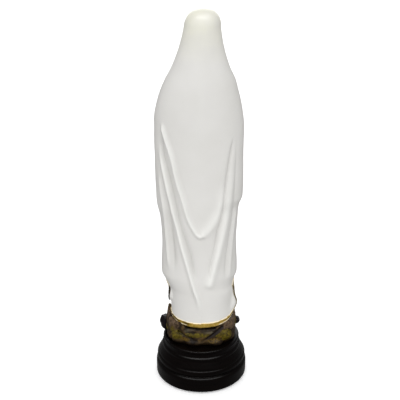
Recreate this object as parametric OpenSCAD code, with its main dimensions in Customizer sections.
// Standing Madonna with joined hands: a painted and gilded cast figure on a rocky mound,
// bolted to a turned wooden base. Millimetres, +Z up. The origin is the centre of the
// underside, and the figure faces -Y.

/* [Wooden base] */
// Largest diameter of the turned base
base_d = 90; // [84:1:110]
// Height of the turned wood, without its felt
base_h = 41; // [36:1:50]
// Thickness of the felt pad under the base
felt_t = 1.5; // [1:0.5:3]

/* [Figure] */
// Height of the figure, from the soles of the feet to the crown of the veil
figure_h = 300; // [280:5:306]
// Thickness of the mantle's cast wall
mantle_t = 2.4; // [2:0.2:3]
// Thickness of the gown's cast wall
gown_t = 4; // [3:0.5:5]
// Width of the gilded edging
gilt_w = 2.6; // [2:0.2:4]

/* [Fixings] */
// Diameter of the bolt through the base
bolt_d = 6; // [5:1:8]
// Length of the bolt's shank
bolt_l = 40; // [36:2:44]
// Diameter of the two dowels that stop the figure turning
dowel_d = 4; // [3:0.5:5]

/* [Hidden] */

design_h = 300;
k = figure_h / design_h;
base_r = base_d / 2;
base_top = felt_t + base_h;
mound_h = 22.5;
foot_z = base_top + mound_h * k;
gap = 0.15;
fixing_clearance = 0.05;
counterbore_r = 10;
counterbore_h = 12;
washer_t = 1.5;
head_t = 4;
insert_r = 5;
insert_h = 14;
dowel_l = 14;
dowel_x = 17;
pin_r = 1.5;
pin_l = 9;
around = 56;

// Outline of the mantle above the soles: height, half width, sideways shift of the
// middle, half depth, and forward (-) or backward (+) shift of the middle.
mantle_form = [
    [-4, 30.2, -0.9, 24.5, 0.5],
    [15, 30.5, -1.1, 24.5, 0],
    [30, 31, -0.9, 24.5, -0.4],
    [36, 32.6, -0.1, 24.5, -0.7],
    [42, 34.6, 1.2, 24.5, -1],
    [48, 36.4, 1.8, 24.5, -1.2],
    [80, 35.4, 1.9, 24.5, -2],
    [104, 35.7, 1.6, 24.5, -2.5],
    [117, 38.1, 2.6, 24.6, -3],
    [126, 40.5, 1.6, 24.7, -3.2],
    [171, 40.8, 2, 24.7, -3.2],
    [194, 40.8, 1.8, 24.5, -2.8],
    [205, 40.2, 2.2, 24, -1.5],
    [216, 38.1, 2, 22.3, 0],
    [228, 34.8, 1.6, 20.4, 1.6],
    [239, 31, 0.8, 18.4, 2.6],
    [249, 26, 0.4, 16.5, 3.2],
    [260, 21.9, 0, 15.2, 3],
    [271, 18.7, -0.5, 15, 2.4],
    [281, 16.7, -0.9, 15.1, 1.8],
    [285, 16.1, -1.1, 15, 1.6],
    [300, 16, -2.2, 14.8, 1]
];
dome_z = 285;

// Outline of the gown, with the same columns.
gown_form = [
    [0, 27, -0.7, 21.8, -1.2],
    [14, 27.6, -0.9, 21.9, -1.6],
    [26, 28, -0.8, 21.8, -1.8],
    [50, 27.8, 0.3, 20.5, -2],
    [90, 24.5, 0, 18.5, -2],
    [125, 22, 0, 16.5, -1.8],
    [150, 20, 0, 14.5, -1.6],
    [176, 15.5, 0, 11.8, -1.2],
    [200, 19.5, 0, 14, -1.6],
    [215, 23, 0, 14, -1],
    [226, 24.5, 0, 12.8, 0.3],
    [235, 20.5, 0, 11, 1],
    [243, 11.5, 0, 8.8, 1.2],
    [250, 7.9, -0.4, 7.5, 1]
];

// Edge of the mantle's opening seen from the front: height and half width.
opening_form = [
    [30, 21], [48, 21.5], [110, 21], [170, 21.5], [188, 22], [204, 19], [225, 12.5],
    [240, 8.6], [250, 8.8], [262, 10.8], [275, 12.2], [284, 11], [290, 7], [292.5, 2]
];
opening_x = -0.8;

// Pipe folds of the back: height of the fold, half width of its crest, and the line it
// follows as heights and places across the back.
folds = [
    [1.6, 2.6, [[8, 1], [39, 7], [68, 14], [98, 21.5], [123, 27.5], [145, 31.5], [186, 37]]],
    [-1.5, 2.2, [[37, 5], [64, 9], [86, 15], [118, 23], [146, 28], [166, 32.5], [193, 37]]],
    [1.2, 2.2, [[53, 30.5], [94, 33], [135, 37], [154, 38.5]]],
    [-1.3, 2, [[50, 25.5], [84, 27], [118, 30], [136, 31.5]]],
    [-1.3, 1.8, [[42, -6.5], [66, -9.5], [95, -15], [128, -21], [164, -25.5], [190, -29.5]]],
    [1.3, 3, [[38, -9], [60, -13], [96, -19.5], [123, -24], [152, -28], [184, -32]]],
    [-1.2, 2, [[44, -23], [80, -25.5], [106, -29], [126, -30.5], [165, -32], [204, -33]]]
];
// The swag of cloth across the back: height of its edge above its lowest point, against
// distance to either side.
swag_edge = [[0, 0], [4, 2.5], [8, 9], [13, 20], [18, 38], [23, 55], [27, 78], [32, 103], [40, 135]];
swag_z = 92.5;
swag_x = 0.5;
swag_h = 2.2;

function slope(p, i, c) =
    let (a = max(i - 1, 0), b = min(i + 1, len(p) - 1))
    (p[b][c] - p[a][c]) / (p[b][0] - p[a][0]);
function span_of(p, t, i = 0) = (i >= len(p) - 2 || t < p[i + 1][0]) ? i : span_of(p, t, i + 1);
// Smooth curve through the rows of p, read in column c at t.
function curve(p, t, c = 1) =
    let (
        i = span_of(p, t), h = p[i + 1][0] - p[i][0],
        s = min(1, max(0, (t - p[i][0]) / h)),
        m0 = slope(p, i, c) * h, m1 = slope(p, i + 1, c) * h
    )
    (2 * s ^ 3 - 3 * s ^ 2 + 1) * p[i][c] + (s ^ 3 - 2 * s ^ 2 + s) * m0
    + (3 * s ^ 2 - 2 * s ^ 3) * p[i + 1][c] + (s ^ 3 - s ^ 2) * m1;
function bump(d, w) = exp(-(d / w) ^ 2);
function ease(s) = let (u = min(1, max(0, s))) u * u * (3 - 2 * u);

function swag(x, z) =
    let (above = z - swag_z - curve(swag_edge, min(abs(x - swag_x), 39)))
    swag_h * ease(above / 9 + 0.35) * bump(max(above, 0), 60);
function pipes(x, z) = [for (f = folds)
    let (line = f[2], low = line[0][0], high = line[len(line) - 1][0])
    f[0] * bump(x - curve(line, z), f[1]) * ease((z - low) / 20 + 0.5) * ease((high - z) / 20 + 0.5)];
function total(v, i = 0) = i < len(v) ? v[i] + total(v, i + 1) : 0;
function back_relief(x, z) = swag(x, z) + total(pipes(x, z));

function dome(z, inset) = z <= dome_z ? 1 : sqrt(max(0, 1 - ((z - dome_z) / (design_h - inset - dome_z)) ^ 2));
function mantle_point(a, z, inset = 0, relief = true) =
    let (
        w = (curve(mantle_form, z) - inset) * dome(z, inset),
        d = (curve(mantle_form, z, 3) - inset) * dome(z, inset),
        x = curve(mantle_form, z, 2) + w * sin(a),
        lift = relief && cos(a) > 0 ? back_relief(x, z) * ease(cos(a) * 3) : 0
    )
    [x + lift * sin(a), curve(mantle_form, z, 4) + (d + lift) * cos(a), z];
function mantle_ring(z, inset, relief, n) = [for (j = [0 : n - 1]) mantle_point(j * 360 / n, z, inset, relief)];
function gown_point(a, z, out, depth) =
    let (pleat = depth * ease(1 - z / 150) * cos(a * 9 + z / 3))
    [curve(gown_form, z, 2) + (curve(gown_form, z) + out + pleat) * sin(a),
     curve(gown_form, z, 4) + (curve(gown_form, z, 3) + out + pleat) * cos(a), z];
function gown_ring(z, out, n, depth = 1.5) = [for (j = [0 : n - 1]) gown_point(j * 360 / n, z, out, depth)];

// A closed solid through level rings of points that all have the same count.
module loft(rings) {
    n = len(rings[0]);
    m = len(rings);
    polyhedron(
        points = [for (r = rings) each r],
        faces = [
            for (i = [0 : m - 2], j = [0 : n - 1])
                [i * n + j, i * n + (j + 1) % n, (i + 1) * n + (j + 1) % n, (i + 1) * n + j],
            [for (j = [n - 1 : -1 : 0]) j],
            [for (j = [0 : n - 1]) (m - 1) * n + j]
        ],
        convexity = 8
    );
}

// Everything above the base is drawn from the soles up, at the design height.
module figure_place() {
    translate([0, 0, foot_z]) scale(k) children();
}
// A boolean of sculpted surfaces, kept at its own size.
module sculpted() {
    resize([0, 0, 0]) children();
}
module mirror_side(side) {
    scale([side, 1, 1]) children();
}
module rod(a, b, r1, r2, fn = 20) {
    hull() {
        translate(a) sphere(r1, $fn = fn);
        translate(b) sphere(r2, $fn = fn);
    }
}

// ---- Base and fixings

module felt_pad() {
    color("darkslategray") cylinder(h = felt_t, r = base_r - 4, $fn = 96);
}

module base_profile() {
    bead_z = base_h - 9.7;
    difference() {
        union() {
            square([base_r - 1, 1]);
            translate([0, 1]) square([base_r, 10.8]);
            translate([base_r - 3.4, 11.8]) circle(3.4, $fn = 48);
            translate([0, 11]) square([base_r - 3.4, 4.2]);
            translate([0, 14]) square([base_r - 2.8, 4]);
            hull() for (z = [18.6, 19.8]) translate([base_r - 3.9, z]) circle(2.85, $fn = 48);
            translate([0, 17]) square([base_r - 3.9, 5]);
            intersection() {
                translate([base_r - 13, 20]) circle(11, $fn = 96);
                translate([0, 20]) square([base_r, base_h - 20]);
            }
            translate([base_r - 9.1, bead_z]) circle(2.9, $fn = 48);
            translate([0, 21]) square([base_r - 9.1, bead_z - 19]);
            translate([0, bead_z]) square([base_r - 8.2, base_h - bead_z]);
            translate([0, base_h - 2.6]) square([base_r - 7.4, 1.9]);
        }
        translate([-base_r, -1]) square([base_r, base_h + 2]);
    }
}

module wooden_base() {
    color([0.05, 0.045, 0.045]) translate([0, 0, felt_t]) difference() {
        rotate_extrude($fn = 128) base_profile();
        translate([0, 0, -1]) cylinder(h = counterbore_h + 1, r = counterbore_r, $fn = 64);
        cylinder(h = base_h + 1, r = bolt_d / 2 + 0.3, $fn = 48);
        for (side = [-1, 1])
            translate([side * dowel_x, 0, base_h - dowel_l / 2])
                cylinder(h = dowel_l, r = dowel_d / 2 + fixing_clearance, $fn = 32);
    }
}

module fixing_bolt() {
    seat = felt_t + counterbore_h - washer_t;
    color("silver") {
        translate([0, 0, seat - head_t]) cylinder(h = head_t, r = bolt_d * 0.9, $fn = 6);
        translate([0, 0, seat]) cylinder(h = bolt_l, r = bolt_d / 2, $fn = 48);
    }
}

module fixing_washer() {
    color("gainsboro") translate([0, 0, felt_t + counterbore_h - washer_t]) difference() {
        cylinder(h = washer_t, r = counterbore_r - 1, $fn = 64);
        translate([0, 0, -1]) cylinder(h = washer_t + 2, r = bolt_d / 2 + fixing_clearance, $fn = 48);
    }
}

module threaded_insert() {
    color("goldenrod") translate([0, 0, base_top]) difference() {
        union() {
            cylinder(h = insert_h, r = insert_r, $fn = 48);
            for (z = [3 : 4 : insert_h - 1]) translate([0, 0, z]) cylinder(h = 1.5, r = insert_r + 1, $fn = 48);
        }
        translate([0, 0, -1]) cylinder(h = insert_h + 2, r = bolt_d / 2 + fixing_clearance, $fn = 48);
    }
}

// Pins that join the mantle to the back of the gown.
module mantle_pin_rods(extra = 0) {
    for (pin = [[60, 20.6], [130, 19.1], [205, 20.1]])
        translate([0, pin[1] + 1.1 - pin_l, pin[0]])
            rotate([-90, 0, 0]) cylinder(h = pin_l + extra, r = pin_r + extra, $fn = 24);
}
module mantle_pins() {
    color("silver") figure_place() mantle_pin_rods();
}

module locating_dowels() {
    color("tan") for (side = [-1, 1])
        translate([side * dowel_x, 0, base_top - dowel_l / 2]) cylinder(h = dowel_l, r = dowel_d / 2, $fn = 32);
}

// ---- Mound

// Height below the soles, half width, reach to the back and to the front, and roughness.
mound_form = [
    [-mound_h, 32.5, 25, 32, 1], [-19, 34, 26, 32.5, 1.4], [-12, 33.5, 25.5, 31.5, 1.6],
    [-8, 32, 24, 30, 1.3], [-5.6, 29, 21.5, 29, 0.6], [-4.6, 27.5, 20.4, 28.5, 0.2], [0, 27.2, 20.2, 28, 0]
];
function mound_point(a, z) =
    let (
        lump = curve(mound_form, z, 4) * (sin(a * 5 + z * 9) + 0.7 * sin(a * 8 - z * 14) + 0.5 * cos(a * 3)),
        reach = curve(mound_form, z, cos(a) > 0 ? 2 : 3)
    )
    [(curve(mound_form, z) + lump) * sin(a), (reach + lump) * cos(a) - 0.5, z];
module mound_skin(grow = 1) {
    loft([for (row = mound_form) [for (j = [0 : 35]) mound_point(j * 10, row[0]) * grow]]);
}

module rock_mound() {
    color("saddlebrown") difference() {
        figure_place() {
            mound_skin();
            loft([for (z = [-1, 5]) gown_ring(z, -gown_t - 0.3, 24, 0)]);
        }
        translate([0, 0, base_top - 1]) {
            cylinder(h = insert_h + 1 + gap, r = insert_r + 1 + gap, $fn = 48);
            for (side = [-1, 1])
                translate([side * dowel_x, 0, 0])
                    cylinder(h = dowel_l / 2 + 1.5, r = dowel_d / 2 + fixing_clearance, $fn = 32);
        }
    }
}

// Heights above the soles of the tips of the two boulders.
left_tip_z = 10.5;
right_tip_z = 4.5;
// A rough stone: a ball of few facets, stretched and turned.
module stone(at, size, turn, facets) {
    translate(at) rotate(turn) resize(size) sphere(10, $fn = facets);
}

// A boulder on one side of the mound that leans against the hem and rises to tip_z.
module boulder_body(side, tip_z, extra = 0) {
    mirror_side(side) hull() {
        stone([30, -8, -6], [10, 15, 16] + extra * [1, 1, 1], [0, 12, 20], 9);
        stone([30.5, -7, tip_z - 6.5], [6, 10, 13] + extra * [1, 1, 1], [10, -8, 0], 8);
    }
}
module boulder(side, tip_z) {
    color("rosybrown") figure_place() sculpted() difference() {
        boulder_body(side, tip_z);
        mound_skin(1.01);
        loft([for (z = [-6 : 5 : 29]) [for (j = [0 : 35]) mantle_point(j * 10, z, -0.6, false)]]);
        gown_space();
    }
}
module boulder_left() { boulder(1, left_tip_z); }
module boulder_right() { boulder(-1, right_tip_z); }

// A dark, glazed stone outside a boulder, with a smaller one that roots it in the mound.
module dark_stone(side, tip_z, at, size) {
    color("black") figure_place() sculpted() difference() {
        mirror_side(side) hull() {
            stone(at, size, [0, 0, 15], 12);
            stone(at - [1.3, 3, 2], size * 0.8, [0, 0, 0], 10);
        }
        mound_skin(1.01);
        boulder_body(side, tip_z, 0.6);
        translate([-60, -60, -mound_h - 20]) cube([120, 120, 20.2]);
    }
}
module dark_stone_left() { dark_stone(1, left_tip_z, [35.4, -7, -14.4], [10.4, 11, 15.6]); }
module dark_stone_right() { dark_stone(-1, right_tip_z, [34.6, -6.5, -11.9], [7.4, 9, 8]); }

// ---- Figure

module gown_skin(out, step, n, low = 0, high = 250) {
    loft([for (z = [low : step : high]) gown_ring(z, out, n)]);
}
module gown_space() {
    gown_skin(0.3, 10, 48, -4, 56);
}

module gown() {
    color("ghostwhite") figure_place() sculpted() difference() {
        gown_skin(0, 12.5, 50);
        loft([for (z = [-1, 20, 50, 90, 125, 150]) gown_ring(z, -gown_t, 24, 0)]);
        for (side = [-1, 1]) {
            sleeve_body(side, gap);
            translate([side * 10, -24, -1]) scale([1, 1.6, 1]) cylinder(h = 7, r = 6, $fn = 24);
        }
        translate([-0.4, 1, 238]) cylinder(h = 14, r = 4.1, $fn = 32);
        mantle_wall(gap, -4, 44);
        mantle_pin_rods(fixing_clearance);
    }
}

module neckline_band() {
    color("gold") figure_place() sculpted() difference() {
        loft([for (z = [250 + gap : 1 : 253.5]) [for (j = [0 : 31])
            [-0.3 + 7.8 * sin(j * 11.25), 1 + 7.4 * cos(j * 11.25), z]]]);
        translate([-0.6, 0.6, 240]) cylinder(h = 20, r = 6.05, $fn = 32);
    }
}

// Arms: shoulder, elbow and wrist of the figure's left arm, mirrored for the right.
shoulder = [24, 1, 221];
elbow = [28.5, -5, 187];
wrist = [5.5, -27.5, 197];
// A sleeve: the upper arm, the forearm, and the wide cuff that hangs below the wrist.
module sleeve_body(side, extra = 0) {
    mirror_side(side) {
        rod(shoulder, elbow, 6.3 + extra, 7.5 + extra, 16);
        rod(elbow, wrist, 7.5 + extra, 6.4 + extra, 16);
        hull() {
            translate(wrist + [4, 3.5, 0]) sphere(6.6 + extra, $fn = 16);
            translate(wrist + [6, 6, -15]) sphere(3 + extra, $fn = 12);
            translate(elbow + [-8, -8, -10]) sphere(3 + extra, $fn = 12);
        }
    }
}
module sleeve(side) {
    color("whitesmoke") figure_place() sculpted() difference() {
        sleeve_body(side);
        mirror_side(side) translate([-10, -60, 150]) cube([10 + gap / 2, 120, 100]);
        mirror_side(side) rod(wrist + [3.4, 3.4, -1], wrist + [-6, -6, 3], 4.6, 6.4);
        peg(side, gap);
    }
}
module left_sleeve() { sleeve(1); }
module right_sleeve() { sleeve(-1); }

// Hands joined palm to palm, with the fingers pointing up.
palm = [0, -31, 202];
module hand_shape(side) {
    mirror_side(side) {
        hull() {
            for (corner = [[3.5, -5], [4, 4], [-3.5, 5], [-2, -4]])
                translate(palm + [2.4, corner[0], corner[1]]) sphere(2.2, $fn = 12);
        }
        for (finger = [0 : 3])
            rod(palm + [2.1, -3.6 + finger * 2.5, 6], palm + [1.7, -6.2 + finger * 2.2, 19 - abs(finger - 1.3) * 2],
                1.7, 1.2, 10);
        rod(palm + [3, 4, 2], palm + [2.4, 3.2, 12], 1.9, 1.4, 10);
        rod(palm + [2.5, 2, -4], wrist + [2.2, 2.2, 0], 2.8, 3.4, 14);
    }
}
module hand(side) {
    color("bisque") figure_place() sculpted() difference() {
        hand_shape(side);
        mirror_side(side) translate([-20 + gap / 2, -60, 180]) cube([20, 60, 60]);
        peg(side, gap);
    }
}
module left_hand() { hand(1); }
module right_hand() { hand(-1); }

module peg(side, extra = 0) {
    mirror_side(side) hull() for (s = [0.2, 0.75])
        translate(wrist + [2.2, 2.2, 0] + s * ([11, 10.5, -4])) sphere(1.1 + extra, $fn = 12);
}
module wrist_pegs() {
    color("silver") figure_place() sculpted() for (side = [-1, 1]) peg(side);
}

// Rosary moulded on the front of the gown: a loop of beads that hangs from the sash.
bead_r = 1.15;
function rosary_at(t) =
    let (
        side = t < 0.5 ? -1 : 1, u = abs(t - 0.5) * 2,
        a = 218 + side * 10 * sin(90 * sqrt(1 - (1 - u) ^ 2)), z = 112 + 58 * u ^ 1.6
    )
    gown_point(a, z, bead_r + 0.1, 1.5);
function rosary_end(i) = gown_point(218, 112 - i * 3.6, bead_r + 0.1, 1.5);
module bead_string(points) {
    for (p = points) translate(p) sphere(bead_r, $fn = 24);
    for (i = [0 : len(points) - 2])
        let (d = points[i + 1] - points[i])
            translate(points[i])
                rotate([0, acos(d[2] / norm(d)), atan2(d[1], d[0])]) cylinder(h = norm(d), r = 0.4, $fn = 16);
}
module rosary() {
    cross = rosary_end(5);
    color("goldenrod") figure_place() {
        bead_string([for (i = [0 : 40]) rosary_at(i / 40)]);
        bead_string([for (i = [0 : 4]) rosary_end(i)]);
        translate(cross - [0.7, 0.6, 8]) cube([1.4, 1.2, 11]);
        translate(cross - [3.2, 0.6, 2.4]) cube([6.4, 1.2, 1.4]);
    }
}

// Head and neck, with a spigot that stands in the gown.
head_x = -1;
module head_shape(out = 0) {
    hull() {
        translate([head_x, 1.8, 283]) sphere(12.2 + out, $fn = 24);
        translate([head_x, -4, 275]) sphere(9.6 + out, $fn = 20);
        translate([head_x, -7.8, 266.6]) sphere(4.6 + out, $fn = 20);
    }
    translate([-0.6, 0.6, 250.2]) cylinder(h = 18, r = 5.8 + out, $fn = 32);
}
module head() {
    color("bisque") figure_place() {
        sculpted() {
            head_shape();
            hull() {
                translate([head_x, -12.2, 281]) sphere(1.2, $fn = 12);
                translate([head_x, -14.6, 273.6]) sphere(1.7, $fn = 12);
            }
        }
        translate([-0.3, 1, 239]) cylinder(h = 11.4, r = 4, $fn = 32);
    }
}

module hair() {
    color("saddlebrown") figure_place() sculpted() difference() {
        hull() {
            translate([head_x, 1.6, 282.6]) sphere(13.4, $fn = 24);
            translate([head_x, 1, 270]) sphere(11, $fn = 20);
        }
        head_shape(gap);
        translate([head_x, -16, 276]) resize([19, 20, 27]) sphere(10, $fn = 18);
        translate([-20, -30, 240]) cube([40, 60, 22]);
        translate([-20, -30, 240]) cube([40, 24.5, 60]);
        mantle_wall(gap, 262, 300);
    }
}

// ---- Mantle

// Heights of the rings: closer together over the dome of the head.
function mantle_heights(top) = [for (z = [-3.5 : 6.75 : 280]) z, 284, 288, 291.5, 294.5, 297, for (z = top) z];
module mantle_outside(n = around) {
    loft([for (z = mantle_heights([298.8, 299.8])) mantle_ring(z, 0, true, n)]);
}
module mantle_inside(inset, n = 32) {
    loft([for (z = [-10, 0, 15, 30, 36, 42, 48, 80, 104, 117, 126, 171, 194, 205, 216, 228, 239, 249, 260, 271, 281,
        285, 289, 292.5, 295, 296.6, 297.2]) mantle_ring(z, inset, false, n)]);
}
// The wall of the mantle between two heights, thicker by extra on both faces.
module mantle_wall(extra, low, high) {
    intersection() {
        difference() {
            loft([for (z = [low : (high - low) / 6 : high - 0.1]) mantle_ring(z, -extra, false, 40)]);
            translate([0, 0, -0.01]) mantle_inside(mantle_t + extra, 40);
        }
        difference() {
            translate([-60, -60, low]) cube([120, 120, high - low]);
            mantle_opening(0);
        }
    }
}
// Front opening: round the face, down the breast and along the hanging ends. Below the
// knees the mantle covers only the back.
module mantle_opening(grow) {
    rotate([90, 0, 0]) linear_extrude(80) translate([opening_x, 0]) offset(delta = grow) polygon(concat(
        [for (z = [30 : 10 : 280]) [-curve(opening_form, z), z]],
        [for (z = [283, 286, 288, 290, 291.5]) [-curve(opening_form, z), z]],
        [for (z = [291.5, 290, 288, 286, 283]) [curve(opening_form, z), z]],
        [for (z = [280 : -10 : 30]) [curve(opening_form, z), z]]
    ));
    lower_edge(grow);
}
// The lower edge, seen from the side: level behind, rising at the sides to the knees.
module lower_edge(grow) {
    translate([-60, 0, 0]) rotate([90, 0, 90]) linear_extrude(120) offset(delta = grow) polygon([
        [-60, -40], [60, -40], [60, -3.2], [30, -3.2], [21, -1.7], [15, 0], [10, 3], [7.5, 10], [6, 22],
        [1, 33], [-8, 40], [-22, 45], [-60, 47]
    ]);
}
module mantle() {
    color("white") figure_place() sculpted() difference() {
        mantle_outside();
        mantle_inside(mantle_t);
        mantle_opening(gilt_w);
        mantle_pin_rods(fixing_clearance);
    }
}
module mantle_gilding() {
    color("goldenrod") figure_place() sculpted() difference() {
        intersection() {
            difference() {
                mantle_outside(40);
                mantle_inside(mantle_t);
            }
            mantle_opening(gilt_w - 0.02);
        }
        mantle_opening(0);
    }
}

// ---- Sash

module sash_band() {
    color("lightsteelblue") figure_place() sculpted() difference() {
        loft([for (z = [172, 174, 178, 180]) gown_ring(z, z > 173 && z < 179 ? 1.8 : 1.2, 48)]);
        loft([for (z = [170, 172, 176, 180, 182]) gown_ring(z, gap, 48)]);
        for (side = [-1, 1]) sleeve_body(side, gap);
    }
}
knot = [0, -14.6, 176];
module sash_knot() {
    color("lightsteelblue") figure_place() sculpted() difference() {
        translate(knot) resize([8, 4.5, 9]) sphere(5, $fn = 20);
        loft([for (z = [168, 172, 176, 180, 184]) gown_ring(z, 1.9, 48)]);
    }
}
// A hanging end of the sash: a ribbon that lies on the front of the gown.
module sash_tail(side, low) {
    color("lightsteelblue") figure_place() sculpted() difference() {
        hull() {
            translate([side * 2.5 - 2.5, -18, 170]) cube([5, 6, 1]);
            translate([side * 5.5 - 4, -24, low]) cube([8, 10, 1]);
        }
        loft([for (z = [low - 5 : 5 : 171]) gown_ring(z, 0.3, 48)]);
        difference() {
            translate([-30, -60, low - 6]) cube([60, 60, 180 - low]);
            loft([for (z = [low - 6 : 5 : 172]) gown_ring(z, 2, 48)]);
        }
        translate([side > 0 ? -20 : -gap / 2, -60, low - 6]) cube([20 + gap / 2, 80, 200]);
        translate(knot) resize([8.4, 5, 9.4]) sphere(5, $fn = 20);
    }
}
module sash_tail_left() { sash_tail(1, 92); }
module sash_tail_right() { sash_tail(-1, 104); }

// ---- Feet

module foot_shape(side, extra = 0) {
    mirror_side(side) hull() {
        translate([9, -15, 3]) sphere(3 + extra, $fn = 16);
        translate([8.4, -28.5, 1.8]) sphere(1.8 + extra, $fn = 14);
        translate([12.4, -26.5, 1.5]) sphere(1.5 + extra, $fn = 14);
    }
}
module foot(side) {
    color("bisque") figure_place() sculpted() difference() {
        foot_shape(side);
        translate([-30, -60, -9.9]) cube([60, 60, 10]);
    }
}
module left_foot() { foot(1); }
module right_foot() { foot(-1); }

module foot_rose(side) {
    color("gold") figure_place() sculpted() difference() {
        translate([side * 10, -24.5, 5]) resize([7.5, 7, 5]) sphere(4, $fn = 16);
        foot_shape(side, gap);
        gown_space();
    }
}
module left_foot_rose() { foot_rose(1); }
module right_foot_rose() { foot_rose(-1); }

felt_pad();
wooden_base();
fixing_bolt();
fixing_washer();
threaded_insert();
locating_dowels();
mantle_pins();
rock_mound();
boulder_left();
boulder_right();
dark_stone_left();
dark_stone_right();
gown();
neckline_band();
sash_band();
sash_knot();
sash_tail_left();
sash_tail_right();
left_sleeve();
right_sleeve();
left_hand();
right_hand();
wrist_pegs();
rosary();
head();
hair();
mantle();
mantle_gilding();
left_foot();
right_foot();
left_foot_rose();
right_foot_rose();
